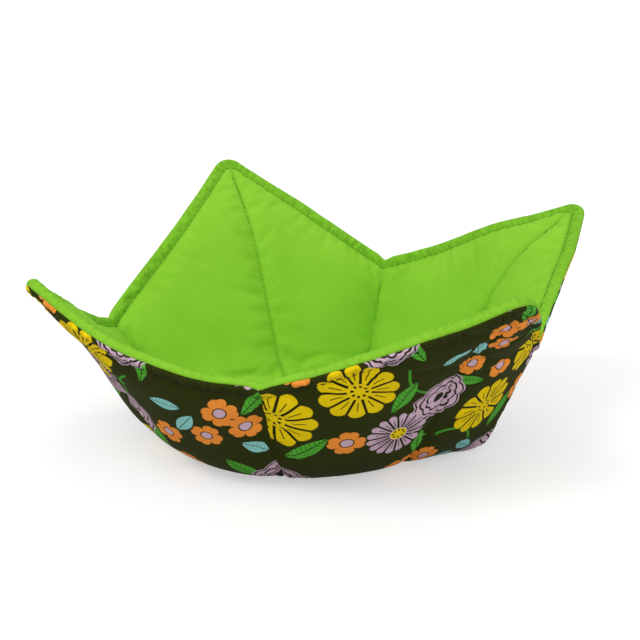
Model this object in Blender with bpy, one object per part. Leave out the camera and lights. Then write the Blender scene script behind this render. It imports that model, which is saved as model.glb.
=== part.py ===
"""Microwave bowl cozy: a padded cotton square, darted on its four sides so that it stands as a bowl.

Two quilted panels nest in each other: a printed one outside and a plain lining inside. Each is
cotton stitched to a layer of cotton batting. They are sewn together round the rim, turned out and
topstitched, so the lining rolls over the edge and its seam shows just below the rim outside.

Frame: +Z up, the underside of the flat base on Z = 0, the centre of the cloth at X = Y = 0.
The darts end on the X and Y axes and the four corner tips point along the diagonals.
The shape is driven by the flat pattern: every point of the square is carried outwards along the
cloth, up the wall and over into the flared tip, so lengths on the cloth stay as they were cut.
"""

import math
from collections import namedtuple

import bmesh
import bpy
from mathutils import Vector

# The flat pattern (metres).
SQUARE_SIDE = 0.2413
DART_DEPTH = 0.060
DART_HALF_WIDTH = 0.016
TIP_RADIUS = 0.011

# The cloth: one quilted panel, the space between the two panels and the rolled rim.
PANEL_THICKNESS = 0.0026
PANEL_GAP = 0.0003
RIM_ROLL = 0.0013
EDGE_ROUNDING = 0.0009

# How the cloth stands at a dart: lengths run along the cloth from the centre, angles in degrees.
LIFT_INSIDE_DART_TIP = 0.0125
DART_TURN = 0.036
DART_WALL_ANGLE = 63.0
DART_RIM_ANGLE = 60.0
DART_FLARE_ZONE = 0.026
DART_FLARE_LENGTH = 0.040

# How it stands on a diagonal, from the base to the tip of a corner flap.
CORNER_LIFT = 0.036
CORNER_TURN = 0.040
CORNER_WALL_ANGLE = 60.0
CORNER_TIP_ANGLE = 41.0
CORNER_FLARE_ZONE = 0.070
CORNER_FLARE_LENGTH = 0.050

# Between two darts a panel stays flat. The ridge at a dart is rounded over this angle of the plan.
RIDGE_SOFTNESS = 4.0

# The small differences of a hand-sewn piece, side by side and flap by flap.
RIGHT_DART_LATER = 0.0155
RIGHT_DART_TIGHTER = 0.022
RIGHT_DART_STEEPER = 6.5
RIGHT_DART_RIM_SLACKER = 12.0
RIGHT_DART_SHORTER_FLARE = 0.018
RIGHT_DART_SWING = -2.0
LEFT_DART_LATER = 0.006
LEFT_DART_SOFTER = 0.007
LEFT_DART_SLACKER = 14.5
LEFT_DART_RIM_SLACKER = 2.0
FRONT_DART_EARLIER = 0.003
FRONT_DART_SOFTER = 0.0045
FRONT_DART_SLACKER = 4.0
FRONT_DART_SWING = 2.5
FRONT_LEFT_LATER = 0.010
FRONT_LEFT_SOFTER = 0.011
FRONT_LEFT_TIP_STEEPER = 7.5
FRONT_RIGHT_SWING = 5.2
BACK_LEFT_EARLIER = 0.0055
BACK_LEFT_TIGHTER = 0.004
BACK_LEFT_STEEPER = 2.5
BACK_LEFT_SWING = -1.5
BACK_RIGHT_TIP_SLACKER = 8.5
BACK_RIGHT_SWING = -2.2

# Stitching draws the padding in along the darts, the two diagonals and a line inside the rim.
TOPSTITCH_INSET = 0.0055
TOPSTITCH_REACH = 0.0030
QUILT_REACH = 0.0060
QUILT_CORNER_CLEARANCE = 0.010
STITCH_DEPTH = 0.0006

# The cloth gathers into a small knob where a dart runs out.
DART_KNOB_HEIGHT = 0.0009
DART_KNOB_RADIUS = 0.0070

# The mesh and the feel for its slope.
ROWS = 17
STEPS = 60
SLOPE_STEP = 0.0004

HALF = SQUARE_SIDE / 2
DART_TIP = HALF - DART_DEPTH
SEAT_HEIGHT = PANEL_GAP / 2 + PANEL_THICKNESS

PRINT_GROUND = (0.030, 0.036, 0.008)
LINING_GREEN = (0.250, 0.660, 0.030)

Stance = namedtuple("Stance", "lift turn wall flare_start flare_length rim swing")

DART = Stance(
    lift=DART_TIP - LIFT_INSIDE_DART_TIP,
    turn=DART_TURN,
    wall=DART_WALL_ANGLE,
    flare_start=HALF - DART_FLARE_ZONE,
    flare_length=DART_FLARE_LENGTH,
    rim=DART_RIM_ANGLE,
    swing=0.0,
)
CORNER = Stance(
    lift=CORNER_LIFT,
    turn=CORNER_TURN,
    wall=CORNER_WALL_ANGLE,
    flare_start=HALF * math.sqrt(2) - CORNER_FLARE_ZONE,
    flare_length=CORNER_FLARE_LENGTH,
    rim=CORNER_TIP_ANGLE,
    swing=0.0,
)


def changed(stance, **amounts):
    """A stance with some of its values moved by the given amounts."""
    return stance._replace(**{name: getattr(stance, name) + amount for name, amount in amounts.items()})


# One stance every 45 degrees, counted from +X towards +Y, with a dart first.
STANCES = (
    changed(
        DART,
        lift=RIGHT_DART_LATER,
        turn=-RIGHT_DART_TIGHTER,
        wall=RIGHT_DART_STEEPER,
        flare_start=RIGHT_DART_SHORTER_FLARE / 2,
        flare_length=-RIGHT_DART_SHORTER_FLARE,
        rim=-RIGHT_DART_RIM_SLACKER,
        swing=RIGHT_DART_SWING,
    ),
    changed(CORNER, rim=-BACK_RIGHT_TIP_SLACKER, swing=BACK_RIGHT_SWING),
    DART,
    changed(
        CORNER,
        lift=-BACK_LEFT_EARLIER,
        turn=-BACK_LEFT_TIGHTER,
        wall=BACK_LEFT_STEEPER,
        swing=BACK_LEFT_SWING,
    ),
    changed(
        DART,
        lift=LEFT_DART_LATER,
        turn=LEFT_DART_SOFTER,
        wall=-LEFT_DART_SLACKER,
        rim=-LEFT_DART_RIM_SLACKER,
    ),
    changed(CORNER, lift=FRONT_LEFT_LATER, turn=FRONT_LEFT_SOFTER, rim=FRONT_LEFT_TIP_STEEPER),
    changed(
        DART,
        lift=-FRONT_DART_EARLIER,
        turn=FRONT_DART_SOFTER,
        wall=-FRONT_DART_SLACKER,
        swing=FRONT_DART_SWING,
    ),
    changed(CORNER, swing=FRONT_RIGHT_SWING),
)


def clear_scene():
    """Start from an empty scene."""
    for item in list(bpy.data.objects):
        bpy.data.objects.remove(item, do_unlink=True)


def ease(value):
    """Smooth step from 0 to 1."""
    value = min(max(value, 0.0), 1.0)
    return value * value * (3.0 - 2.0 * value)


def flat_side(from_dart):
    """How much further than on the diagonal a straight side lies, at an angle from the dart."""
    return 1.0 / math.cos(math.radians(45.0 - from_dart)) - 1.0


def dart_share(angle):
    """The nearest dart's share in the stance of a direction: 1 at the dart, 0 on a diagonal."""
    from_dart = abs((angle + 45.0) % 90.0 - 45.0)
    softened = min(math.hypot(from_dart, RIDGE_SOFTNESS), 45.0)
    return flat_side(softened) / flat_side(RIDGE_SOFTNESS)


def stance_at(angle):
    """The stance in a direction of the plan, blended between its dart and its diagonal."""
    sector = int((angle % 360.0) / 45.0) % 8
    first, second = STANCES[sector], STANCES[(sector + 1) % 8]
    dart, corner = (first, second) if sector % 2 == 0 else (second, first)
    share = dart_share(angle)
    return Stance(*(b + (a - b) * share for a, b in zip(dart, corner)))


def slope_along(stance, length):
    """The cloth's slope, in radians, at a distance from the centre along the cloth."""
    risen = stance.wall * ease((length - stance.lift) / stance.turn)
    opened = (stance.wall - stance.rim) * ease((length - stance.flare_start) / stance.flare_length)
    return math.radians(risen - opened)


def walk_out(length, angle):
    """Walk from the centre out along the cloth: returns the radius and the height reached."""
    stance = stance_at(angle)
    radius = height = 0.0
    step = length / STEPS
    for index in range(STEPS):
        slope = slope_along(stance, (index + 0.5) * step)
        radius += math.cos(slope) * step
        height += math.sin(slope) * step
    return radius, height


def on_pattern(u, v, edge):
    """Length along the cloth and plan angle of a point of the square, its darts closed.

    u and v run across the square and edge is where this sheet ends. Each side loses a wedge at
    its middle, and the rest of the quarter is spread evenly over its 45 degrees of the plan.
    """
    reach = max(abs(u), abs(v))
    if reach < 1e-9:
        return 0.0, 0.0
    wedge = max(0.0, reach - DART_TIP) * DART_HALF_WIDTH / DART_DEPTH
    across = wedge + min(abs(u), abs(v)) / reach * (reach - wedge)
    along, across = round_tip(reach, across, edge)
    dart_angle = math.degrees(math.atan2(wedge, reach))
    angle = math.degrees(math.atan2(across, along))
    share = 45.0 * (angle - dart_angle) / (45.0 - dart_angle)
    return math.hypot(along, across), plan_angle(u, v, share)


def round_tip(along, across, edge):
    """Carry the square corner of the pattern onto the arc of its rounded tip."""
    radius = max(TIP_RADIUS - (HALF - edge), EDGE_ROUNDING) * (along / edge) ** 4
    left = along - across
    if left >= radius:
        return along, across
    bend = (1.0 - left / radius) * math.pi / 4
    middle = along - radius
    return middle + radius * math.cos(bend), middle + radius * math.sin(bend)


def plan_angle(u, v, share):
    """Turn an angle measured from the nearest dart into one measured from +X."""
    same_sign = 1.0 if u * v >= 0.0 else -1.0
    if abs(u) >= abs(v):
        return (0.0 if u > 0.0 else 180.0) + same_sign * share
    return (90.0 if v > 0.0 else 270.0) - same_sign * share


def middle_surface(u, v, edge):
    """A point of the surface midway between the two panels."""
    length, angle = on_pattern(u, v, edge)
    radius, height = walk_out(length, angle)
    turn = math.radians(angle + stance_at(angle).swing)
    return Vector((radius * math.cos(turn), radius * math.sin(turn), height + SEAT_HEIGHT))


def inward(u, v, edge):
    """Unit normal of the middle surface, on the side of the food."""
    step = SLOPE_STEP
    across_u = middle_surface(u + step, v, edge) - middle_surface(u - step, v, edge)
    across_v = middle_surface(u, v + step, edge) - middle_surface(u, v - step, edge)
    return across_u.cross(across_v).normalized()


def tent(distance, reach):
    """1 on a stitched line, falling to 0 at the given reach."""
    return max(0.0, 1.0 - abs(distance) / reach)


def drawn_in(u, v):
    """How far stitching draws a face into the padding, from 0 to 1."""
    reach = max(abs(u), abs(v))
    side = min(abs(u), abs(v))
    topstitch = tent(HALF - reach - TOPSTITCH_INSET, TOPSTITCH_REACH)
    diagonal = 0.0
    if HALF - reach > QUILT_CORNER_CLEARANCE:
        diagonal = tent((reach - side) / math.sqrt(2), QUILT_REACH)
    dart = tent(side, QUILT_REACH) if reach > DART_TIP else 0.0
    return max(topstitch, diagonal, dart)


def dart_knob(u, v):
    """Height of the gathered knob at the end of the nearest dart."""
    reach = max(abs(u), abs(v))
    side = min(abs(u), abs(v))
    distance = math.hypot(reach - DART_TIP, side)
    return DART_KNOB_HEIGHT * ease(1.0 - distance / DART_KNOB_RADIUS)


def wall_share(u, v, edge):
    """0 on the flat base and 1 on the walls, so the base stays flat under the stitching."""
    length, angle = on_pattern(u, v, edge)
    stance = stance_at(angle)
    return ease((length - stance.lift) / (stance.turn / 2))


def place(u, v, inset, offset, padded):
    """A vertex at a distance in from the rim and off the middle surface, padded or not."""
    edge = HALF - inset
    point = middle_surface(u, v, edge)
    normal = inward(u, v, edge)
    if padded:
        side = 1.0 if offset > 0.0 else -1.0
        risen = wall_share(u, v, edge)
        share = 1.0 if side > 0.0 else risen
        offset -= side * share * STITCH_DEPTH * drawn_in(u, v)
        offset -= risen * dart_knob(u, v)
    return point + normal * offset


def row_stations(edge):
    """Distances of the mesh rows from the centre, with one row on the topstitching."""
    last = HALF - TOPSTITCH_INSET
    inner = [last * index / ROWS for index in range(ROWS + 1)] + [edge]
    return [-value for value in reversed(inner[1:])] + inner


def face_grid(mesh, inset, offset, padded, upward):
    """One face of a panel as a grid of triangles. Returns its boundary, counter-clockwise from above."""
    stations = row_stations(HALF - inset)
    last = len(stations) - 1
    grid = [[mesh.verts.new(place(u, v, inset, offset, padded)) for v in stations] for u in stations]
    for i in range(last):
        for j in range(last):
            corners = [grid[i][j], grid[i + 1][j], grid[i + 1][j + 1], grid[i][j + 1]]
            points_outwards = (i < last / 2) == (j < last / 2)
            on_quilting = i == j or i + j == last - 1
            for triangle in split_cell(corners, points_outwards == on_quilting):
                mesh.faces.new(triangle if upward else reversed(triangle))
    return [grid[i][j] for i, j in boundary_walk(last)]


def split_cell(corners, along_first):
    """Split a cell in two triangles.

    Cells on the quilting are split along it. All others are split across it, as the cloth folds
    where it leaves the table, so the edges of the base run straight.
    """
    a, b, c, d = corners
    if along_first:
        return (a, b, c), (a, c, d)
    return (a, b, d), (b, c, d)


def boundary_walk(last):
    """Grid indices round the boundary, counter-clockwise seen from above."""
    front = [(i, 0) for i in range(last)]
    right = [(last, j) for j in range(last)]
    back = [(i, last) for i in range(last, 0, -1)]
    left = [(0, j) for j in range(last, 0, -1)]
    return front + right + back + left


def rim_ring(mesh, inset, offset):
    """A ring of vertices following the rim at one point of its cross-section."""
    stations = row_stations(HALF - inset)
    walk = boundary_walk(len(stations) - 1)
    return [mesh.verts.new(place(stations[i], stations[j], inset, offset, False)) for i, j in walk]


def join_rings(mesh, upper, lower):
    """Quads between two rings, facing away from the bowl."""
    count = len(upper)
    for index in range(count):
        after = (index + 1) % count
        mesh.faces.new((upper[index], lower[index], lower[after], upper[after]))


def panel(name, section, material):
    """A closed padded sheet.

    section lists (inset, offset) pairs from the face inside the bowl, round the rim, to the face
    on the outside. Its two ends carry the grids of the faces.
    """
    mesh = bmesh.new()
    inside, outside = section[0], section[-1]
    rings = [face_grid(mesh, inside[0], inside[1], name == "lining_panel", True)]
    rings += [rim_ring(mesh, inset, offset) for inset, offset in section[1:-1]]
    rings += [face_grid(mesh, outside[0], outside[1], name == "outer_panel", False)]
    for upper, lower in zip(rings, rings[1:]):
        join_rings(mesh, upper, lower)
    flatten_base(mesh)
    data = bpy.data.meshes.new(name)
    mesh.to_mesh(data)
    mesh.free()
    data.materials.append(material)
    data.shade_smooth()
    data.set_sharp_from_angle(angle=math.radians(40))
    item = bpy.data.objects.new(name, data)
    bpy.context.collection.objects.link(item)
    return item


def flatten_base(mesh):
    """Make each flat patch of the base one face."""
    for side in (-1.0, 1.0):
        flat = [face for face in mesh.faces if face.normal.z * side > 0.9999999]
        if flat:
            bmesh.ops.dissolve_faces(mesh, faces=flat, use_verts=False)


def cotton(name, colour):
    """Plain woven cotton."""
    material = bpy.data.materials.new(name)
    material.use_nodes = True
    shader = material.node_tree.nodes["Principled BSDF"]
    shader.inputs["Base Color"].default_value = (*colour, 1.0)
    shader.inputs["Roughness"].default_value = 0.9
    shader.inputs["Metallic"].default_value = 0.0
    return material


def outer_section():
    """Cross-section of the printed panel's rim: a soft round edge tucked under the lining's roll."""
    near = PANEL_GAP / 2
    far = near + PANEL_THICKNESS
    end = RIM_ROLL + PANEL_GAP
    r = EDGE_ROUNDING
    return (
        (end + 0.7 * r, -near),
        (end + 0.2 * r, -near - 0.35 * r),
        (end, -near - r),
        (end + 0.2 * r, -far + 0.8 * r),
        (end + 0.7 * r, -far + 0.2 * r),
        (end + 1.6 * r, -far),
    )


def lining_section():
    """Cross-section of the lining's rim: it rolls over the edge and ends low on the outside."""
    near = PANEL_GAP / 2
    far = near + PANEL_THICKNESS
    seam = -far + EDGE_ROUNDING
    r = EDGE_ROUNDING
    return (
        (2.0 * RIM_ROLL, far),
        (0.85 * RIM_ROLL, far - 0.45 * r),
        (0.2 * RIM_ROLL, far - 1.6 * r),
        (0.0, 0.0),
        (0.15 * RIM_ROLL, 0.65 * seam),
        (0.55 * RIM_ROLL, seam),
        (0.95 * RIM_ROLL, 0.95 * seam),
        (RIM_ROLL, -near - r),
        (RIM_ROLL + 0.05 * r, -near),
        (RIM_ROLL + 0.35 * r, near),
        (RIM_ROLL + PANEL_GAP + 0.7 * r, near),
    )


def main():
    """Build the two panels."""
    clear_scene()
    panel("outer_panel", outer_section(), cotton("printed_cotton", PRINT_GROUND))
    panel("lining_panel", lining_section(), cotton("lining_cotton", LINING_GREEN))


main()
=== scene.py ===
# %% [markdown]
# # A microwave bowl cozy
# A bowl cozy is a padded square of cotton with a dart sewn into the middle of each side. The darts
# fold the square up into a bowl with four pointed flaps. Outside it wears printed cotton, inside a
# plain lime lining, and batting lies between. This lesson dresses the measured solids with real
# cloth: two sheets that follow the sewing pattern, their stitches, and a print drawn with nodes.

# %% Load the measured solids
import math

import bmesh
import bpy
import numpy as np
from mathutils import Matrix, Vector, noise
from mathutils.bvhtree import BVHTree


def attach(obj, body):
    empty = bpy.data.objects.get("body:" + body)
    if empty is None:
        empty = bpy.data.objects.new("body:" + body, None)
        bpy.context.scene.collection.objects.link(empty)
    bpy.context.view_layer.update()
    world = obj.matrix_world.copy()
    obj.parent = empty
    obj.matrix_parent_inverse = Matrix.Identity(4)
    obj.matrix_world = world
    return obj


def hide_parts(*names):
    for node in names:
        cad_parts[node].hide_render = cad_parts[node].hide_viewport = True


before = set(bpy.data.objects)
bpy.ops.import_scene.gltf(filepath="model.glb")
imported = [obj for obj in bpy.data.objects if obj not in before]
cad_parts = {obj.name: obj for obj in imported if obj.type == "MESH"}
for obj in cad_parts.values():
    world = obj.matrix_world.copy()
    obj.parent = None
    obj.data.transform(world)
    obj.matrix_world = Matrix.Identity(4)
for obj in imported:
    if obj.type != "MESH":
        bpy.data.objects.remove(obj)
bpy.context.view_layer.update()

# %% [markdown]
# ## The camera and the studio
# The photograph looks down a little at one corner of the front. A long lens keeps the flaps in
# proportion, and a small shift frames them. The floor is pale and keeps the soft shadow; lamps and
# world stay at a plain level, so a colour renders about as it is written.

# %% The camera
CAMERA_AZIMUTH = math.radians(17.56)
CAMERA_ELEVATION = math.radians(19.12)
CAMERA_ROLL = math.radians(0.67)
CAMERA_DISTANCE = 0.5430
CAMERA_TARGET = Vector((0.0, 0.0, 0.03219))
FOCAL_PIXELS = 1244.7
FRAME_PIXELS = 640
CENTRE_X, CENTRE_Y = 328.1, 355.4

camera_data = bpy.data.cameras.new("camera")
camera_data.sensor_width = 36.0
camera_data.lens = FOCAL_PIXELS / FRAME_PIXELS * camera_data.sensor_width
camera_data.shift_x = (FRAME_PIXELS / 2 - CENTRE_X) / FRAME_PIXELS
camera_data.shift_y = (CENTRE_Y - FRAME_PIXELS / 2) / FRAME_PIXELS
camera_data.clip_start = 0.01
camera = bpy.data.objects.new("camera", camera_data)
bpy.context.scene.collection.objects.link(camera)
towards_viewer = Vector((
    math.sin(CAMERA_AZIMUTH) * math.cos(CAMERA_ELEVATION),
    -math.cos(CAMERA_AZIMUTH) * math.cos(CAMERA_ELEVATION),
    math.sin(CAMERA_ELEVATION),
))
camera.location = CAMERA_TARGET + towards_viewer * CAMERA_DISTANCE
turn_to_side = Matrix.Rotation(CAMERA_AZIMUTH, 3, "Z")
tip_down = Matrix.Rotation(math.pi / 2 - CAMERA_ELEVATION, 3, "X")
roll = Matrix.Rotation(CAMERA_ROLL, 3, "Z")
camera.rotation_euler = (turn_to_side @ tip_down @ roll).to_euler()
bpy.context.scene.camera = camera
print("camera lens:", round(camera_data.lens, 1), "mm")

# %% [markdown]
# Lamps are large and soft. The key stands high on the left, a weaker one fills the right, and one
# behind lights the lining of the far flaps.

# %% Lamps and world
def soft_lamp(name, place, size, power):
    """A square area lamp that faces the bowl."""
    data = bpy.data.lights.new(name, "AREA")
    data.shape = "SQUARE"
    data.size = size
    data.energy = power
    lamp = bpy.data.objects.new(name, data)
    bpy.context.scene.collection.objects.link(lamp)
    lamp.location = place
    lamp.rotation_euler = (CAMERA_TARGET - Vector(place)).to_track_quat("-Z", "Y").to_euler()


soft_lamp("key_lamp", (-0.55, -0.75, 1.05), 0.7, 9.0)
soft_lamp("fill_lamp", (0.95, -0.55, 0.60), 0.9, 4.0)
soft_lamp("back_lamp", (0.10, 0.90, 0.95), 0.8, 4.0)


def camera_sees(tree):
    """1 for rays from the camera, in mirrors and through glass, 0 for rays that carry light."""
    path = tree.nodes.new("ShaderNodeLightPath")
    total = path.outputs["Is Camera Ray"]
    for name in ("Is Glossy Ray", "Is Transmission Ray"):
        add = tree.nodes.new("ShaderNodeMath")
        add.operation = "MAXIMUM"
        tree.links.new(total, add.inputs[0])
        tree.links.new(path.outputs[name], add.inputs[1])
        total = add.outputs[0]
    return total


world = bpy.data.worlds.new("studio")
bpy.context.scene.world = world
world.use_nodes = True
background = world.node_tree.nodes["Background"]
background.inputs["Color"].default_value = (1.0, 1.0, 1.0, 1.0)
strength = world.node_tree.nodes.new("ShaderNodeMapRange")
strength.inputs["To Min"].default_value = 0.55
strength.inputs["To Max"].default_value = 1.0
world.node_tree.links.new(camera_sees(world.node_tree), strength.inputs["Value"])
world.node_tree.links.new(strength.outputs["Result"], background.inputs["Strength"])
bpy.context.scene.view_settings.view_transform = "Standard"

# %% [markdown]
# The floor is half a diffuse sheet, which takes the shadow, and half a white of its own, which only
# the camera sees. Lit, the two add up to white.

# %% The floor
floor_mesh = bpy.data.meshes.new("floor")
floor_form = bmesh.new()
bmesh.ops.create_grid(floor_form, x_segments=1, y_segments=1, size=6.0)
floor_form.to_mesh(floor_mesh)
floor_form.free()
floor = bpy.data.objects.new("floor", floor_mesh)
bpy.context.scene.collection.objects.link(floor)
floor_paint = bpy.data.materials.new("pale_floor")
floor_paint.use_nodes = True
nodes, links = floor_paint.node_tree.nodes, floor_paint.node_tree.links
floor_shader = nodes["Principled BSDF"]
floor_shader.inputs["Base Color"].default_value = (0.60, 0.60, 0.60, 1.0)
floor_shader.inputs["Roughness"].default_value = 1.0
floor_shader.inputs["Specular IOR Level"].default_value = 0.0
floor_shader.inputs["Emission Color"].default_value = (1.0, 1.0, 1.0, 1.0)
spread = nodes.new("ShaderNodeVectorMath")
spread.operation = "LENGTH"
links.new(nodes.new("ShaderNodeTexCoord").outputs["Object"], spread.inputs[0])
floor_glow = nodes.new("ShaderNodeMapRange")
floor_glow.inputs["From Min"].default_value = 0.25
floor_glow.inputs["From Max"].default_value = 1.50
floor_glow.inputs["To Min"].default_value = 0.48
floor_glow.inputs["To Max"].default_value = 0.80
links.new(spread.outputs["Value"], floor_glow.inputs["Value"])
seen_glow = nodes.new("ShaderNodeMath")
seen_glow.operation = "MULTIPLY"
links.new(floor_glow.outputs["Result"], seen_glow.inputs[0])
links.new(camera_sees(floor_paint.node_tree), seen_glow.inputs[1])
links.new(seen_glow.outputs[0], floor_shader.inputs["Emission Strength"])
floor_mesh.materials.append(floor_paint)
print("floor:", floor.name)

# %% [markdown]
# ## The pattern and how it stands
# The whole form comes from the flat pattern. Every point of the square is walked out along the
# cloth from the centre: flat on the table, up the wall, then over into the flared flap. Each dart
# and each flap stands a little differently, so a stance is given for eight directions and blended.
# Lengths on the cloth stay as they were cut, which is what makes a sewn form look sewn.

# %% Sizes of the pattern
SQUARE_SIDE = 0.2413
HALF = SQUARE_SIDE / 2
DART_DEPTH = 0.060
DART_HALF_WIDTH = 0.016
DART_TIP = HALF - DART_DEPTH
LIFT_INSIDE_DART_TIP = 0.0125
DART_FLARE_ZONE = 0.026
CORNER_FLARE_ZONE = 0.070
TIP_RADIUS = 0.011
SMALLEST_TIP_RADIUS = 0.0009
SEAT_HEIGHT = 0.00275
TOPSTITCH_INSET = 0.0055
QUILT_END = 0.0095
STEPS = 60
SLOPE_STEP = 0.0004

STANCE_PARTS = ("lift", "turn", "wall", "flare_start", "flare_length", "rim", "swing")


def stance(**amounts):
    """Lengths along the cloth from the centre in metres, slopes and a swing in plan in degrees."""
    return np.array([amounts.get(part, 0.0) for part in STANCE_PARTS])


DART = stance(
    lift=DART_TIP - LIFT_INSIDE_DART_TIP,
    turn=0.036,
    wall=63.0,
    flare_start=HALF - DART_FLARE_ZONE,
    flare_length=0.040,
    rim=60.0,
)
CORNER = stance(
    lift=0.036,
    turn=0.040,
    wall=60.0,
    flare_start=HALF * math.sqrt(2) - CORNER_FLARE_ZONE,
    flare_length=0.050,
    rim=41.0,
)
RIGHT_DART = DART + stance(
    lift=0.0146, turn=-0.0234, wall=5.5, flare_start=0.0085, flare_length=-0.018, rim=-12.3, swing=-2.4
)
BACK_RIGHT = CORNER + stance(lift=-0.0007, wall=-0.2, rim=-7.5, swing=-2.8)
BACK_LEFT = CORNER + stance(lift=-0.0051, turn=-0.0036, wall=1.4, rim=-1.4, swing=-1.4)
LEFT_DART = DART + stance(lift=0.006, turn=0.007, wall=-14.9, rim=-2.0, swing=0.4)
FRONT_LEFT = CORNER + stance(lift=0.0106, turn=0.0112, wall=1.3, rim=6.1, swing=1.1)
FRONT_DART = DART + stance(lift=-0.0036, turn=0.0044, wall=-4.2, swing=2.5)
FRONT_RIGHT = CORNER + stance(lift=0.0006, turn=0.0006, wall=-1.1, flare_start=-0.0006, swing=4.9)
STANCES = np.array([
    RIGHT_DART, BACK_RIGHT, DART, BACK_LEFT, LEFT_DART, FRONT_LEFT, FRONT_DART, FRONT_RIGHT
])
RIDGE_SOFTNESS = 4.0
print("stances:", len(STANCES))

# %% Walk out along the cloth
def ease(value):
    """Smooth step from 0 to 1."""
    value = np.clip(value, 0.0, 1.0)
    return value * value * (3.0 - 2.0 * value)


def flat_side(from_dart):
    """How much further than on the diagonal a straight side lies, at an angle from the dart."""
    return 1.0 / np.cos(np.radians(45.0 - from_dart)) - 1.0


def stance_at(angle):
    """The stances in directions of the plan. Panels stay flat between their two darts."""
    sector = np.floor(np.mod(angle, 360.0) / 45.0).astype(int) % 8
    dart = np.where(sector % 2 == 0, sector, sector + 1) % 8
    corner = np.where(sector % 2 == 0, sector + 1, sector)
    from_dart = np.abs(np.mod(angle + 45.0, 90.0) - 45.0)
    softened = np.minimum(np.hypot(from_dart, RIDGE_SOFTNESS), 45.0)
    share = (flat_side(softened) / flat_side(RIDGE_SOFTNESS))[:, None]
    return STANCES[corner] * (1.0 - share) + STANCES[dart] * share


def walk_out(length, angle):
    """Radius and height reached by walking from the centre along the cloth."""
    lift, turn, wall, flare_start, flare_length, rim, _ = stance_at(angle).T[:, :, None]
    walked = length[:, None] * (np.arange(STEPS) + 0.5) / STEPS
    slope = wall * ease((walked - lift) / turn)
    slope = np.radians(slope - (wall - rim) * ease((walked - flare_start) / flare_length))
    return length * np.cos(slope).mean(axis=1), length * np.sin(slope).mean(axis=1)


print("front dart reaches:", [part.round(4) for part in walk_out(np.array([HALF]), np.array([270.0]))])

# %% [markdown]
# On the pattern each side loses a wedge at its middle. What is left of a quarter is spread evenly
# over its 45 degrees of the plan, and the corner is carried onto the arc of its rounded tip.

# %% Close the darts
def cut_flat(u, v, edge):
    """Distances along and across the nearer axis on the cut cloth, and the wedge taken there."""
    reach = np.maximum(np.abs(u), np.abs(v))
    side = np.minimum(np.abs(u), np.abs(v))
    wedge = np.maximum(0.0, reach - DART_TIP) * DART_HALF_WIDTH / DART_DEPTH
    share = np.divide(side, reach, out=np.zeros_like(side), where=reach > 1e-9)
    across = wedge + share * (reach - wedge)
    radius = np.maximum(TIP_RADIUS - (HALF - edge), SMALLEST_TIP_RADIUS) * (reach / edge) ** 4
    left = reach - across
    bend = np.clip(1.0 - left / np.maximum(radius, 1e-9), 0.0, 1.0) * math.pi / 4
    rounded = left < radius
    along = np.where(rounded, reach - radius * (1.0 - np.cos(bend)), reach)
    across = np.where(rounded, reach - radius * (1.0 - np.sin(bend)), across)
    return along, across, wedge


print("a dart takes", round(math.degrees(math.atan2(DART_HALF_WIDTH, HALF)), 1), "degrees on each side")


# %% The surface between the sheets
def middle_surface(u, v, edge):
    """Points midway between the two sheets."""
    along, across, wedge = cut_flat(u, v, edge)
    reach = np.maximum(np.maximum(np.abs(u), np.abs(v)), 1e-9)
    dart_angle = np.degrees(np.arctan2(wedge, reach))
    angle = np.degrees(np.arctan2(across, np.maximum(along, 1e-9)))
    share = 45.0 * (angle - dart_angle) / (45.0 - dart_angle)
    same = np.where(u * v >= 0.0, 1.0, -1.0)
    on_x = np.where(u > 0.0, 0.0, 180.0) + same * share
    on_y = np.where(v > 0.0, 90.0, 270.0) - same * share
    plan = np.where(np.abs(u) >= np.abs(v), on_x, on_y)
    radius, height = walk_out(np.hypot(along, across), plan)
    turn = np.radians(plan + stance_at(plan)[:, -1])
    return np.column_stack([radius * np.cos(turn), radius * np.sin(turn), height + SEAT_HEIGHT])


def inward(u, v, edge):
    """Unit normals of the middle surface, on the side of the food."""
    along_u = middle_surface(u + SLOPE_STEP, v, edge) - middle_surface(u - SLOPE_STEP, v, edge)
    along_v = middle_surface(u, v + SLOPE_STEP, edge) - middle_surface(u, v - SLOPE_STEP, edge)
    normal = np.cross(along_u, along_v)
    return normal / np.linalg.norm(normal, axis=1, keepdims=True)


def wall_share(u, v, edge):
    """0 on the flat base, 1 on the walls."""
    along, across, _ = cut_flat(u, v, edge)
    plan = np.degrees(np.arctan2(v, u))
    lift, turn = stance_at(plan).T[:2]
    return ease((np.hypot(along, across) - lift) / (turn * 0.6))


# %% [markdown]
# ## What the sewing does to the padding
# Stitches pull the cloth into the batting, and it swells between them. Close to a seam the cloth is
# a little longer than the thread, so it gathers into small puckers. Each effect is a height above
# the plain sheet, in metres, found from the distance to the nearest stitched line.

# %% Distances to the stitching
def line_distances(u, v):
    """Distances to the topstitching, the quilting and the dart seam."""
    reach = np.maximum(np.abs(u), np.abs(v))
    side = np.minimum(np.abs(u), np.abs(v))
    _, across, wedge = cut_flat(u, v, np.full_like(u, HALF))
    topstitch = np.abs(HALF - TOPSTITCH_INSET - reach)
    past_end = np.maximum(0.0, reach - (HALF - QUILT_END))
    quilting = np.hypot((reach - side) / math.sqrt(2), past_end)
    before_tip = np.maximum(0.0, DART_TIP - reach)
    dart = np.hypot(across - wedge, before_tip)
    return topstitch, quilting, dart


def grain(u, v, size, seed):
    """Smooth noise on the cloth with features of the given size, about -1 to 1."""
    points = zip((u / size).tolist(), (v / size).tolist())
    return np.array([noise.noise((a, b, seed)) for a, b in points]) * 1.6


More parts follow.
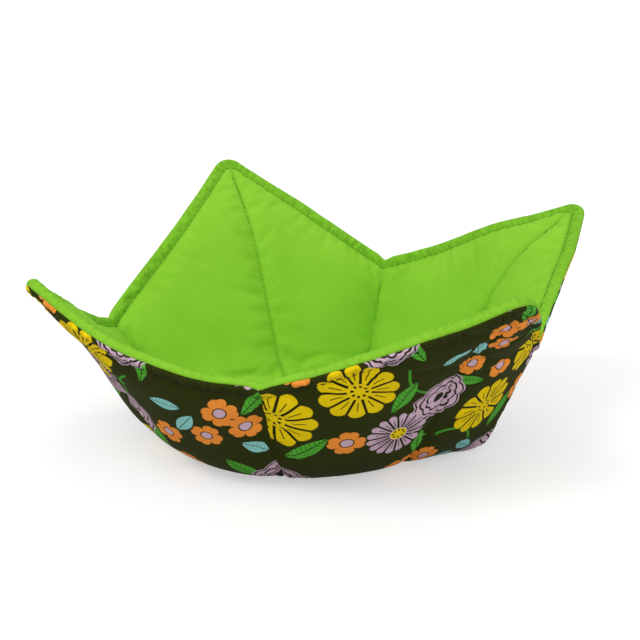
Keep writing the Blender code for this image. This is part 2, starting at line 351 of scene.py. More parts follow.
def quilt_folds(u, v, quilting, seed):
    """Small folds that run out from the quilting, longer than they are wide."""
    along = (np.abs(u) + np.abs(v)) / math.sqrt(2)
    away = (np.abs(u) - np.abs(v)) / math.sqrt(2)
    own_quarter = np.sign(u) + 3.0 * np.sign(v)
    folds = grain(along + 0.3 * own_quarter + 0.4 * np.abs(away), 0.35 * away, 0.0055, seed)
    return folds * np.exp(-quilting / 0.010) * ease(along / 0.045)


print("topstitching to the centre:", HALF - TOPSTITCH_INSET, "m")

# %% Heights above the plain sheet
PUFF = 0.0009
PUFF_REACH = 0.0055
DIP = 0.0010
GROOVE_WIDTH = 0.0012
DART_GROOVE_WIDTH = 0.0011
PUCKER = 0.00045
HEM_PUCKER_SIZE, HEM_PUCKER_REACH = 0.0050, 0.0035
DART_PUCKER_SIZE, DART_PUCKER_REACH = 0.0055, 0.0050


def close_to(distance, width):
    """1 on a line, falling smoothly to 0 beside it."""
    return np.exp(-(distance / width) ** 2)


def padding(u, v, seed, hem_dip):
    """How far the padded cloth stands out from its plain sheet."""
    topstitch, quilting, dart = line_distances(u, v)
    nearest = np.minimum(np.minimum(topstitch, quilting), dart)
    swell = PUFF * (1.0 - np.exp(-(nearest / PUFF_REACH) ** 1.5))
    groove = DIP * (hem_dip * close_to(topstitch, GROOVE_WIDTH) + close_to(quilting, GROOVE_WIDTH))
    groove += DIP * close_to(dart, DART_GROOVE_WIDTH)
    along_quilt = quilt_folds(u, v, quilting, seed) * (1.0 - close_to(quilting, 0.0020))
    along_edge = grain(u, v, HEM_PUCKER_SIZE, seed + 3.0) * np.exp(-topstitch / HEM_PUCKER_REACH)
    along_dart = grain(u, v, DART_PUCKER_SIZE, seed + 5.0) * np.exp(-dart / DART_PUCKER_REACH)
    return swell - groove + PUCKER * (1.4 * along_quilt + 0.7 * along_edge + along_dart)


# %% Waves, knobs and notches
WAVE_SIZE, WAVE_HEIGHT = 0.045, 0.0010
FOLD_SIZE, FOLD_HEIGHT = 0.018, 0.0004
KNOB_HEIGHT, KNOB_RADIUS, KNOB_PAST_TIP = 0.0014, 0.0065, 0.002
NOTCH_DEPTH, NOTCH_WIDTH = 0.0016, 0.0035


def drape(u, v):
    """Broad soft waves that carry both sheets, strongest out on the flaps."""
    reach = np.maximum(np.abs(u), np.abs(v)) / HALF
    broad = grain(u, v, WAVE_SIZE, 11.0) * WAVE_HEIGHT
    folds = grain(u * 0.8 + v * 0.2, v, FOLD_SIZE, 17.0) * FOLD_HEIGHT
    return (broad + folds) * ease(reach * 1.5 - 0.4)


def dart_knob(u, v):
    """The small knob where a dart runs out."""
    reach = np.maximum(np.abs(u), np.abs(v))
    side = np.minimum(np.abs(u), np.abs(v))
    return KNOB_HEIGHT * ease(1.0 - np.hypot(reach - DART_TIP - KNOB_PAST_TIP, side) / KNOB_RADIUS)


def rim_notch(u, v):
    """How far the rim is drawn down where the dart seam crosses it."""
    side = np.minimum(np.abs(u), np.abs(v))
    reach = np.maximum(np.abs(u), np.abs(v))
    return NOTCH_DEPTH * close_to(side, NOTCH_WIDTH) * (reach / HALF) ** 14


# %% A point of either sheet
RIM_WIDTH = 0.0042
RUFFLE_SIZE, RUFFLE_HEIGHT = 0.0090, 0.00018
LINING_SEED, LINING_HEM_DIP = 31.0, 1.1
PRINT_SEED, PRINT_HEM_DIP = 57.0, 0.30


def cloth_points(u, v, inset, offset, inside):
    """Places on the finished cloth. inside is True for the lining and False for the print."""
    edge = HALF - inset
    drawn = 1.0 - rim_notch(u, v) / HALF
    u, v = u * drawn, v * drawn
    side = 1.0 if inside else -1.0
    rim = ease(1.0 - inset / RIM_WIDTH)
    ruffle = grain(u, v, RUFFLE_SIZE, 23.0) * RUFFLE_HEIGHT * rim
    shared = drape(u, v) - dart_knob(u, v) * (0.6 if inside else 1.0) + ruffle
    walls = wall_share(u, v, edge)
    finish = (LINING_SEED, LINING_HEM_DIP) if inside else (PRINT_SEED, PRINT_HEM_DIP)
    own = padding(u, v, *finish) * (1.0 - rim)
    own *= 1.0 if inside else walls * 0.8 + 0.2
    height = offset + side * own + shared * walls
    points = middle_surface(u, v, edge) + inward(u, v, edge) * height[:, None]
    if not inside:
        points[:, 2] = np.maximum(points[:, 2], 0.0)
    return points


# %% [markdown]
# ## The two sheets of cotton
# Each sheet starts as a flat grid, like the cut square on the table. Its free edge is extruded ring
# by ring to follow the rim in section: the lining rolls right over the edge to the seam, and the
# print comes up to meet it. Both tuck their last rings inside, as a seam allowance does. Then every
# vertex is carried from the table to its place on the standing cozy.

# %% Lay out a flat sheet
ROWS = 172


def row_places(edge):
    """Distances of the rows from the centre, with one on the topstitching."""
    half_rows = ROWS // 2
    steady = half_rows - 3
    inner = np.arange(steady + 1) / steady * (HALF - TOPSTITCH_INSET)
    outer = np.linspace(HALF - TOPSTITCH_INSET, edge, 4)[1:]
    return np.concatenate([inner, outer])


def sort_parts(form):
    """Puts edges and faces in the order of their vertices, so that each run simulates alike."""
    form.verts.index_update()
    count = len(form.verts)

    def rank(part):
        numbers = [vertex.index for vertex in part.verts]
        return min(numbers) * count + max(numbers)

    form.edges.sort(key=rank)
    form.faces.sort(key=rank)


def point_edges_up(mesh):
    """Lets every edge run from its lower numbered vertex to the higher one, for the same reason."""
    ends = np.zeros(len(mesh.edges) * 2, dtype=np.int32)
    mesh.edges.foreach_get("vertices", ends)
    mesh.edges.foreach_set("vertices", np.sort(ends.reshape(-1, 2), axis=1).ravel())


def flat_sheet(name, section):
    """A grid with rings extruded from its edge, as a mesh that knows each vertex's ring."""
    form = bmesh.new()
    bmesh.ops.create_grid(form, x_segments=ROWS, y_segments=ROWS, size=1.0)
    ring_layer = form.verts.layers.int.new("ring")
    loose = [edge for edge in form.edges if edge.is_boundary]
    for ring in range(1, len(section)):
        made = bmesh.ops.extrude_edge_only(form, edges=loose)["geom"]
        fresh = {item for item in made if isinstance(item, bmesh.types.BMVert)}
        for vertex in fresh:
            vertex[ring_layer] = ring
        loose = [
            item for item in made
            if isinstance(item, bmesh.types.BMEdge) and all(vertex in fresh for vertex in item.verts)
        ]
    sort_parts(form)
    mesh = bpy.data.meshes.new(name)
    form.to_mesh(mesh)
    form.free()
    point_edges_up(mesh)
    return mesh


print("rows:", ROWS, "about", round(SQUARE_SIDE / ROWS * 1000, 2), "mm apart")


# %% Where every vertex lies on the pattern
def read_places(mesh):
    """Vertex coordinates as an array."""
    flat = np.zeros(len(mesh.vertices) * 3)
    mesh.vertices.foreach_get("co", flat)
    return flat.reshape(-1, 3)


def pattern_places(mesh, section):
    """Arrays u, v, inset, offset, the length walked past the grid, and the ring."""
    rings = np.zeros(len(mesh.vertices), dtype=np.int32)
    mesh.attributes["ring"].data.foreach_get("value", rings)
    grid = read_places(mesh)[:, :2]
    insets, offsets = np.array(section).T
    travel = np.hypot(np.diff(insets), np.diff(offsets)).cumsum()
    travel = np.concatenate([[0.0], travel])
    places = row_places(HALF - section[0][0])
    along = np.interp(np.abs(grid) * (ROWS // 2), np.arange(len(places)), places)
    on_rim = np.isclose(np.abs(grid), 1.0)
    along = np.where(on_rim, HALF - insets[rings][:, None], along)
    u, v = (np.sign(grid) * along).T
    return u, v, insets[rings], offsets[rings], travel[rings], rings


# %% A map of the pattern
MAP_SIDE = 0.26


def write_pattern_map(mesh, places, grid_inset):
    """UVs that lie on the flat pattern, broken at the darts so that the print jumps there."""
    u, v, travel = places[0], places[1], places[4]
    corners = np.zeros(len(mesh.loops), dtype=np.int32)
    mesh.loops.foreach_get("vertex_index", corners)
    faces = corners.reshape(-1, 4)
    middle_u = np.repeat(u[faces].mean(axis=1), 4)
    middle_v = np.repeat(v[faces].mean(axis=1), 4)
    edge = HALF - grid_inset
    near_u, near_v = np.clip(u[corners], -edge, edge), np.clip(v[corners], -edge, edge)
    along, across, _ = cut_flat(near_u, near_v, np.full_like(near_u, edge))
    along = along + travel[corners]
    on_x = np.abs(middle_u) >= np.abs(middle_v)
    map_u = np.where(on_x, along, across) * np.sign(middle_u)
    map_v = np.where(on_x, across, along) * np.sign(middle_v)
    layer = mesh.uv_layers.new(name="pattern")
    layer.data.foreach_set("uv", (0.5 + np.column_stack([map_u, map_v]) / MAP_SIDE).ravel())


# %% [markdown]
# The batting presses the cloth out between its stitches. Sewing shortens the stitched lines a
# little, so the cloth between them is too long and buckles into small folds. A short run of cloth
# simulation finds those folds: the seams are pinned, the sheet grows by a few percent, and
# pressure stands for the batting. The solver likes big cloth, so the sheet is enlarged for it, and
# its moves are capped, so that the sheet stays near the solid that it dresses.

# %% Let the batting swell
SOLVER_SCALE = 12.0
SOLVER_FRAMES = 20
LARGEST_MOVE = 0.0022
GROWTH = 0.03
PRESSURE = 1.5
ON_THE_LINE = 1e-5


def swell(mesh, held):
    """How far each vertex moves when the sheet grows and swells between its pinned vertices."""
    trial = mesh.copy()
    trial.transform(Matrix.Scale(SOLVER_SCALE, 4))
    start = read_places(trial)
    sheet = bpy.data.objects.new("trial_sheet", trial)
    bpy.context.scene.collection.objects.link(sheet)
    pins = sheet.vertex_groups.new(name="stitched")
    pins.add(np.flatnonzero(held).tolist(), 1.0, "REPLACE")
    cloth = sheet.modifiers.new("cloth", "CLOTH")
    cloth.settings.quality = 5
    cloth.settings.mass = 0.3
    cloth.settings.bending_stiffness = 1.0
    cloth.settings.vertex_group_mass = "stitched"
    cloth.settings.shrink_min = -GROWTH
    cloth.settings.use_pressure = True
    cloth.settings.uniform_pressure_force = PRESSURE
    cloth.settings.effector_weights.gravity = 0.0
    cloth.collision_settings.use_collision = False
    for number in range(1, SOLVER_FRAMES + 1):
        bpy.context.scene.frame_set(number)
    moved = sheet.evaluated_get(bpy.context.evaluated_depsgraph_get()).to_mesh()
    move = (read_places(moved) - start) / SOLVER_SCALE
    bpy.data.objects.remove(sheet)
    bpy.data.meshes.remove(trial)
    length = np.linalg.norm(move, axis=1, keepdims=True)
    print("moves:", np.percentile(length, (50, 90, 99, 100)).round(5))
    capped = LARGEST_MOVE * np.tanh(length / LARGEST_MOVE)
    return move * capped / np.maximum(length, 1e-9)


def held_by_seams(places, seam_ring, inside):
    """True for the vertices on a stitched line, beyond the rim seam or on the table."""
    u, v, _, _, _, rings = places
    topstitch, quilting, dart = line_distances(u, v)
    on_line = np.minimum(np.minimum(topstitch, quilting), dart) < ON_THE_LINE
    seated = np.zeros_like(on_line) if inside else wall_share(u, v, np.full_like(u, HALF)) < 0.05
    return on_line | (rings >= seam_ring) | seated


# %% Sew a sheet
COTTON_THICKNESS = 0.0003
LINING_LOWEST = 0.003


def sew_sheet(name, section, inside, seam_ring):
    """A finished sheet of cotton as a new object."""
    mesh = flat_sheet(name, section)
    places = pattern_places(mesh, section)
    write_pattern_map(mesh, places, section[0][0])
    mesh.vertices.foreach_set("co", cloth_points(*places[:4], inside).ravel())
    if not inside:
        mesh.flip_normals()
    mesh.update()
    settled = read_places(mesh) + swell(mesh, held_by_seams(places, seam_ring, inside))
    settled[:, 2] = np.maximum(settled[:, 2], LINING_LOWEST if inside else 0.0)
    mesh.vertices.foreach_set("co", settled.ravel())
    mesh.update()
    mesh.shade_smooth()
    piece = bpy.data.objects.new(name, mesh)
    bpy.context.scene.collection.objects.link(piece)
    thickness = piece.modifiers.new("cotton", "SOLIDIFY")
    thickness.thickness = COTTON_THICKNESS
    thickness.offset = -1.0
    print(name, "faces:", len(mesh.polygons))
    return piece


# %% The rim in section
# Each point is an inset from the finished edge and an offset from the middle surface, in metres.
LINING_SECTION = (
    (0.0030, 0.0024), (0.0019, 0.0026), (0.0010, 0.0023), (0.0004, 0.0016), (0.0001, 0.0007),
    (0.0000, -0.0001), (0.0002, -0.0007), (0.0005, -0.0011), (0.0009, -0.0013), (0.0014, -0.0010),
    (0.0022, -0.0006),
)
PRINT_SECTION = (
    (0.0034, -0.0023), (0.0022, -0.0025), (0.0013, -0.0022), (0.0008, -0.0015), (0.0010, -0.0010),
    (0.0020, -0.0004),
)
lining = sew_sheet("lining_cloth", LINING_SECTION, True, 2)
printed = sew_sheet("printed_cloth", PRINT_SECTION, False, 1)

# %% [markdown]
# ## Thread
# A line of machine stitching is a row of short beads of thread, each sunk a little into the cloth.
# They are laid on the finished sheet along the lines of the pattern, so no stitch floats.

# %% Rows of stitches
STITCH_PITCH = 0.0030
STITCH_LENGTH = 0.0022
THREAD_RADIUS = 0.00024
FIRST_STITCH = 0.0004
SHEET_OFFSET = 0.0024


def on_sheet(tree, point):
    """The nearest place on the sheet, lifted so that a thread lies half sunk."""
    place, normal, _, _ = tree.find_nearest(point)
    return place + normal * THREAD_RADIUS * 0.3


def stitch_row(form, tree, u, v, inside):
    """Beads of thread along a line on the pattern."""
    inset = np.full_like(u, TOPSTITCH_INSET)
    offset = np.full_like(u, SHEET_OFFSET if inside else -SHEET_OFFSET)
    points = cloth_points(u, v, inset, offset, inside)
    steps = np.linalg.norm(np.diff(points, axis=0), axis=1)
    walked = np.concatenate([[0.0], steps.cumsum()])
    count = int(walked[-1] // STITCH_PITCH)
    starts = np.arange(count) * STITCH_PITCH + FIRST_STITCH
    heads = np.column_stack([np.interp(starts, walked, column) for column in points.T])
    tails = np.column_stack([np.interp(starts + STITCH_LENGTH, walked, column) for column in points.T])
    for head, tail in zip(heads, tails):
        head, tail = on_sheet(tree, Vector(head)), on_sheet(tree, Vector(tail))
        bead = tail - head
        turn = bead.to_track_quat("Z", "Y").to_matrix().to_4x4()
        stretch = Matrix.Diagonal((1.0, 1.0, bead.length / 2 / THREAD_RADIUS, 1.0))
        matrix = Matrix.Translation((head + tail) / 2) @ turn @ stretch
        bmesh.ops.create_uvsphere(form, u_segments=6, v_segments=5, radius=THREAD_RADIUS, matrix=matrix)
    return count


def stitch_lines():
    """Lines on the pattern: the topstitching round the rim and the two diagonals."""
    run = np.linspace(-1.0, 1.0, 500) * (HALF - TOPSTITCH_INSET)
    level = np.full_like(run, HALF - TOPSTITCH_INSET)
    for u, v in ((run, -level), (level, run), (-run, level), (-level, -run)):
        yield u, v
    diagonal = np.linspace(-1.0, 1.0, 800) * (HALF - QUILT_END)
    yield diagonal, diagonal
    yield diagonal, -diagonal


def sew_thread(name, sheet, inside):
    """All stitches that show on one side."""
    corners = [tuple(vertex.co) for vertex in sheet.data.vertices]
    tree = BVHTree.FromPolygons(corners, [tuple(face.vertices) for face in sheet.data.polygons])
    form = bmesh.new()
    count = sum(stitch_row(form, tree, u, v, inside) for u, v in stitch_lines())
    mesh = bpy.data.meshes.new(name)
    form.to_mesh(mesh)
    form.free()
    mesh.shade_smooth()
    piece = bpy.data.objects.new(name, mesh)
    bpy.context.scene.collection.objects.link(piece)
    print(name, "stitches:", count)
    return piece


lining_thread = sew_thread("lining_thread", lining, True)
print_thread = sew_thread("print_thread", printed, False)

# %% [markdown]
# ## Drawing with nodes
# The print is drawn straight onto the flat pattern, in millimetres, the way cloth is printed before
# it is cut. A Field wraps a number that is known at every point of the cloth, so that a petal can be
# written as a formula and becomes Math nodes.

# %% Numbers over the cloth
class Field:
    """A socket with arithmetic."""

    def __init__(self, tree, socket):
        self.tree = tree
        self.socket = socket

    def math(self, operation, *others, clamp=False):
        """A Math node on this field and other fields or numbers."""
        node = self.tree.nodes.new("ShaderNodeMath")
        node.operation = operation
        node.use_clamp = clamp
        for slot, value in zip(node.inputs, (self, *others)):
            if isinstance(value, Field):
                self.tree.links.new(value.socket, slot)
            else:
                slot.default_value = value
        return Field(self.tree, node.outputs[0])

    def __add__(self, other):
        return self.math("ADD", other)

    def __sub__(self, other):
        return self.math("SUBTRACT", other)

    def __mul__(self, other):
        return self.math("MULTIPLY", other)

    def __truediv__(self, other):
        return self.math("DIVIDE", other)

    def below(self, limit, soft=0.02):
        """1 where this field is under the limit and 0 above it, with a soft edge."""
        gap = self.math("MULTIPLY", -1.0) + limit
        return gap.math("MULTIPLY_ADD", 1.0 / soft, 0.5, clamp=True)

    def cosine(self):
        """Size of the cosine, from 0 to 1."""
        return self.math("COSINE").math("ABSOLUTE")


def mix_colours(tree, share, under, over):
    """under where share is 0 and over where it is 1."""
    node = tree.nodes.new("ShaderNodeMix")
    node.data_type = "RGBA"
    node.clamp_factor = True
    tree.links.new(share.socket, node.inputs["Factor"])
    for socket, colour in ((node.inputs["A"], under), (node.inputs["B"], over)):
        if isinstance(colour, bpy.types.NodeSocket):
            tree.links.new(colour, socket)
        else:
            socket.default_value = (*colour, 1.0)
    return node.outputs["Result"]


def srgb(code):
    """A colour written as six hexadecimal digits, as linear numbers."""
    shares = [int(code[place:place + 2], 16) / 255 for place in (0, 2, 4)]
    return tuple(s / 12.92 if s <= 0.04045 else ((s + 0.055) / 1.055) ** 2.4 for s in shares)


# %% [markdown]
# Each kind of motif is a node group: give it a place, a size and colours, and it lays the motif over
# what lies under it. The print has a half-drop repeat, as much printed cotton does: every next column
# starts half a repeat lower, which hides the repetition.

# %% Colours and the repeat
REPEAT = (67.0, 118.0)
GROUND, DARK = srgb("2c320c"), srgb("1f2308")
YELLOW, ORANGE, LILAC = srgb("ebcd0c"), srgb("f4943a"), srgb("cfb0c2")
AQUA, LEAF_GREEN, STEM_GREEN = srgb("93d8d3"), srgb("55b038"), srgb("469a2e")


def vector_math(tree, operation, *vectors, scale=None):
    """A Vector Math node on sockets or fixed vectors."""
    node = tree.nodes.new("ShaderNodeVectorMath")
    node.operation = operation
    for slot, vector in zip(node.inputs, vectors):
        if isinstance(vector, bpy.types.NodeSocket):
            tree.links.new(vector, slot)
        else:
            slot.default_value = vector
    if scale is not None:
        tree.links.new(scale, node.inputs["Scale"])
    return node.outputs[0]


def nearest_repeat(tree, away):
    """The way from a motif's place, taken from the nearest repeat of that place instead."""
    split = tree.nodes.new("ShaderNodeSeparateXYZ")
    tree.links.new(away, split.inputs[0])
    column = (Field(tree, split.outputs["X"]) / REPEAT[0]).math("ROUND")
    drop = vector_math(tree, "SCALE", (-REPEAT[0], -REPEAT[1] / 2, 0.0), scale=column.socket)
    dropped = vector_math(tree, "ADD", away, drop)
    highest = (REPEAT[0], REPEAT[1] / 2, 1.0)
    lowest = (-REPEAT[0], -REPEAT[1] / 2, -1.0)
    return vector_math(tree, "WRAP", dropped, highest, lowest)


print("repeat:", REPEAT, "mm")


# %% A motif group
def motif_sockets(tree, numbers, colours):
    """What a motif is given and the colour that it hands on, as the group's two end nodes."""
    kinds = {"Spot": "Vector", "Place": "Vector"}
    kinds.update({number: "Float" for number in ("Size", "Turn", *numbers)})
    kinds.update({colour: "Color" for colour in (*colours, "Under")})
    for name, kind in kinds.items():
        tree.interface.new_socket(name, in_out="INPUT", socket_type="NodeSocket" + kind)
    tree.interface.new_socket("Colour", in_out="OUTPUT", socket_type="NodeSocketColor")
    return tree.nodes.new("NodeGroupInput"), tree.nodes.new("NodeGroupOutput")


def motif_group(name, numbers, colours, draw):
    """A node group that holds one kind of motif."""
    tree = bpy.data.node_groups.new(name, "ShaderNodeTree")
    given, result = motif_sockets(tree, numbers, colours)
    away = vector_math(tree, "SUBTRACT", given.outputs["Spot"], given.outputs["Place"])
    wrapped = nearest_repeat(tree, away)
    turned = tree.nodes.new("ShaderNodeVectorRotate")
    turned.rotation_type = "Z_AXIS"
    tree.links.new(wrapped, turned.inputs["Vector"])
    tree.links.new(given.outputs["Turn"], turned.inputs["Angle"])
    parts = tree.nodes.new("ShaderNodeSeparateXYZ")
    tree.links.new(turned.outputs[0], parts.inputs[0])
    size = Field(tree, given.outputs["Size"])
    x = Field(tree, parts.outputs["X"]) / size
    y = Field(tree, parts.outputs["Y"]) / size
    tree.links.new(draw(tree, given, x, y), result.inputs["Colour"])
    return tree


def polar(x, y):
    """Distance from the middle and angle."""
    radius = (x * x + y * y).math("SQRT")
    return radius, y.math("ARCTAN2", x)


# %% A daisy
def draw_daisy(tree, given, x, y):
    """Rounded petals parted by dark lines, each with a vein, round a dotted heart."""
    radius, angle = polar(x, y)
    half_turns = angle * Field(tree, given.outputs["Petals"]) * 0.5
    lobe = half_turns.cosine()
    cover = (radius - lobe.math("POWER", 0.55) * 0.22).below(0.78, 0.03)
    width = radius * 2.0 / Field(tree, given.outputs["Petals"])
    part = (lobe * width).below(0.034, 0.015) * (radius * -1.0).below(-0.30)
    vein = (half_turns.math("SINE").math("ABSOLUTE") * width).below(0.014, 0.012)
    vein = vein * (radius * -1.0).below(-0.42) * radius.below(0.74)
    heart = radius.below(0.27)
    dots = (angle * 4.0).cosine().math("MULTIPLY", -1.0).below(-0.75, 0.1)
    dots = dots * (radius - 0.18).math("ABSOLUTE").below(0.045)
    lines = (part + vein).math("MINIMUM", 1.0)
    colour = mix_colours(tree, lines, given.outputs["Petal"], given.outputs["Line"])
    colour = mix_colours(tree, heart, colour, given.outputs["Heart"])
    colour = mix_colours(tree, dots, colour, given.outputs["Line"])
    return mix_colours(tree, cover, given.outputs["Under"], colour)


# %% A rosette and a dogwood blossom
def draw_rosette(tree, given, x, y):
    """Rings of scallops drawn one inside the other."""
    radius, angle = polar(x, y)
    waves = angle * Field(tree, given.outputs["Petals"]) * 0.5
    outer = radius - waves.cosine() * 0.10
    middle = radius - waves.math("SINE").math("ABSOLUTE") * 0.09
    inner = radius - waves.cosine() * 0.07
    cover = outer.below(0.88, 0.03)
    lines = (outer - 0.80).math("ABSOLUTE").below(0.030)
    lines = lines + (middle - 0.60).math("ABSOLUTE").below(0.036)
    lines = lines + (inner - 0.40).math("ABSOLUTE").below(0.034)
    lines = lines + (radius - 0.17).math("ABSOLUTE").below(0.028)
    colour = mix_colours(tree, lines.math("MINIMUM", 1.0), given.outputs["Petal"], given.outputs["Line"])
    colour = mix_colours(tree, radius.below(0.15), colour, given.outputs["Heart"])
    return mix_colours(tree, cover, given.outputs["Under"], colour)


def draw_dogwood(tree, given, x, y):
    """Four broad notched petals round a pale heart."""
    radius, angle = polar(x, y)
    lobe = (angle * 2.0).cosine()
    notch = (angle * 2.0).math("SINE").math("ABSOLUTE").math("POWER", 0.4)
    edge = lobe.math("POWER", 0.35) * 0.62 + notch * 0.22
    cover = (radius - edge).below(0.18, 0.04)
    ring = (radius - 0.34).math("ABSOLUTE").below(0.035)
    colour = mix_colours(tree, ring, given.outputs["Petal"], given.outputs["Line"])
    colour = mix_colours(tree, radius.below(0.30), colour, given.outputs["Heart"])
    return mix_colours(tree, cover, given.outputs["Under"], colour)


# %% A leaf and a stem
def draw_leaf(tree, given, x, y):
    """A pointed leaf with a midrib and side veins. Slim is its half width."""
    slim = Field(tree, given.outputs["Slim"])
    taper = (x * x).math("MULTIPLY", -1.0) + 1.0
    side = y.math("ABSOLUTE") / slim
    cover = (side - taper).below(0.0, 0.05) * x.math("ABSOLUTE").below(1.0)
    rib = y.math("ABSOLUTE").below(0.022, 0.015)
    slant = (x * 5.0 - side * 1.1).math("PINGPONG", 0.5)
    veins = slant.below(0.055, 0.05)
    lines = (rib + veins).math("MINIMUM", 1.0)
    colour = mix_colours(tree, lines, given.outputs["Petal"], given.outputs["Line"])
    return mix_colours(tree, cover, given.outputs["Under"], colour)


def draw_stem(tree, given, x, y):
    """An arc of a thin stem. Slim is its half width and Sweep half its angle."""
    radius, angle = polar(x, y)
    cover = (radius - 1.0).math("ABSOLUTE").math("SUBTRACT", Field(tree, given.outputs["Slim"]))
    cover = cover.below(0.0, 0.02) * angle.math("ABSOLUTE").below(Field(tree, given.outputs["Sweep"]))
    return mix_colours(tree, cover, given.outputs["Under"], given.outputs["Petal"])


# %% All the motifs
MOTIFS = {
    "daisy": motif_group("daisy", ("Petals",), ("Petal", "Line", "Heart"), draw_daisy),
    "rosette": motif_group("rosette", ("Petals",), ("Petal", "Line", "Heart"), draw_rosette),
    "dogwood": motif_group("dogwood", (), ("Petal", "Line", "Heart"), draw_dogwood),
    "leaf": motif_group("leaf", ("Slim",), ("Petal", "Line"), draw_leaf),
    "stem": motif_group("stem", ("Slim", "Sweep"), ("Petal",), draw_stem),
}
print("motifs:", sorted(MOTIFS))

# %% [markdown]
# ## Cotton
# Quilting cotton is matt, with a fine even weave of about 0.4 mm that shows close up, a faint fuzz
# that lightens grazing angles, and dye that is a little uneven. Across the hem every stitch draws in
# a small crease, which is a bump and also painted shade and light in the colour. Both cloths share
# this finish and differ in their dye; the lime lining also has painted shade.

# %% The shared finish
MILLIMETRES = 1000.0
WEAVE_PITCH = 0.40


def cloth_spot(tree):
    """The place on the flat pattern in millimetres."""
    source = tree.nodes.new("ShaderNodeUVMap")
    source.uv_map = "pattern"
    mapping = tree.nodes.new("ShaderNodeMapping")
    side = MAP_SIDE * MILLIMETRES
    mapping.inputs["Location"].default_value = (-side / 2, -side / 2, 0.0)
    mapping.inputs["Scale"].default_value = (side, side, 1.0)
    tree.links.new(source.outputs["UV"], mapping.inputs["Vector"])
    return mapping.outputs["Vector"]


def noise_field(tree, spot, size, detail):
    """Noise from 0 to 1 with features of about the given size, in the units of the spot."""
    node = tree.nodes.new("ShaderNodeTexNoise")
    node.inputs["Scale"].default_value = 1.0 / size
    node.inputs["Detail"].default_value = detail
    tree.links.new(spot, node.inputs["Vector"])
    return Field(tree, node.outputs["Fac"])


def weave(tree, spot):
    """Threads going over and under each other, as a height."""
    parts = tree.nodes.new("ShaderNodeSeparateXYZ")
    tree.links.new(spot, parts.inputs[0])
    warp = (Field(tree, parts.outputs["X"]) * (math.pi / WEAVE_PITCH)).math("SINE")
    weft = (Field(tree, parts.outputs["Y"]) * (math.pi / WEAVE_PITCH)).math("SINE")
    return warp * weft


# %% The hem and the stitched lines
HEM_WIDTH = 5.5


def past_centre(tree, spot):
    """Distances of a spot from the two middle lines of the pattern."""
    parts = tree.nodes.new("ShaderNodeSeparateXYZ")
    tree.links.new(spot, parts.inputs[0])
    return [Field(tree, parts.outputs[axis]).math("ABSOLUTE") for axis in "XY"]


def hem_and_seams(tree, spot):
    """How much of the hem, and how much of a stitched line, a spot of the pattern has."""
    x, y = past_centre(tree, spot)
    inside = x.math("MAXIMUM", y) - (HALF - TOPSTITCH_INSET) * MILLIMETRES
    quilting = (x - y).math("ABSOLUTE") * 0.6
    nearest = inside.math("ABSOLUTE").math("MINIMUM", quilting)
    hem = (inside * -1.0).below(0.0, 1.6) * (inside.below(HEM_WIDTH, 1.5) * 0.6 + 0.4)
    return hem, nearest.below(0.7, 1.3)


def hem_crinkles_and_shade(tree, spot):
    """Small creases across the hem, about -0.2 to 0.2, where the stitches draw the cloth in. They give a
    bump and also painted shade and light.
    """
    x, y = past_centre(tree, spot)
    place = tree.nodes.new("ShaderNodeCombineXYZ")
    tree.links.new(x.math("MINIMUM", y).socket, place.inputs["X"])
    tree.links.new((x.math("MAXIMUM", y) * 0.35).socket, place.inputs["Y"])
    hem, _ = hem_and_seams(tree, spot)
    return (noise_field(tree, place.outputs[0], 1.9, 1.0) - 0.5) * hem


# %% Cotton from a dye
def cotton(name, dye_and_shade):
    """A cotton material. The colouring function gets the tree and the spot and returns the colour, with
    any painted shade in it.
    """
    material = bpy.data.materials.new(name)
    material.use_nodes = True
    tree = material.node_tree
    shader = tree.nodes["Principled BSDF"]
    shader.inputs["Roughness"].default_value = 0.88
    shader.inputs["Specular IOR Level"].default_value = 0.06
    shader.inputs["Sheen Weight"].default_value = 0.012
    shader.inputs["Sheen Roughness"].default_value = 0.5
    spot = cloth_spot(tree)
    threads = weave(tree, spot)
    crinkles_and_shade = hem_crinkles_and_shade(tree, spot)
    uneven = noise_field(tree, spot, 14.0, 3.0) * 0.16 + noise_field(tree, spot, 1.1, 2.0) * 0.14
    # The crinkles here are painted shade and light in the creases; the uneven noise and the weave are
    # the cloth's own tone.
    tone_and_crease_shade = uneven + threads * 0.05 + crinkles_and_shade * 0.7 + 0.85
    shade = tree.nodes.new("ShaderNodeVectorMath")
    shade.operation = "SCALE"
    tree.links.new(dye_and_shade(tree, spot), shade.inputs[0])
    tree.links.new(tone_and_crease_shade.socket, shade.inputs["Scale"])
    tree.links.new(shade.outputs[0], shader.inputs["Base Color"])
    bump = tree.nodes.new("ShaderNodeBump")
    bump.inputs["Strength"].default_value = 0.35
    bump.inputs["Distance"].default_value = 0.00012
    height = threads * 0.5 + noise_field(tree, spot, 0.9, 3.0) * 1.2 + crinkles_and_shade * 45.0
    tree.links.new(height.socket, bump.inputs["Height"])
    tree.links.new(bump.outputs["Normal"], shader.inputs["Normal"])
    return material


# %% [markdown]
# ## The lining and the thread
# The lining is a plain lime cotton with painted shade: a little darker along its stitched lines,
# where the grooves lie, and on the hem.

# %% Lime lining
def lime_dye_and_shade(tree, spot):
    """Plain lime, with painted shade on the hem and along the stitched lines."""
    soft = noise_field(tree, spot, 30.0, 2.0)
    hem, seam_shade = hem_and_seams(tree, spot)
    plain = mix_colours(tree, soft, srgb("80be2c"), srgb("8fcc3a"))
    # Painted shade: the hem is mixed towards a darker lime.
    hem_shaded = mix_colours(tree, hem * 0.55, plain, srgb("6fae26"))
    # Painted shade: the stitched lines are mixed towards a darker lime, as if their grooves were in
    # shadow.
    return mix_colours(tree, seam_shade * 0.42, hem_shaded, srgb("5a981a"))


lining.data.materials.append(cotton("lime_cotton", lime_dye_and_shade))


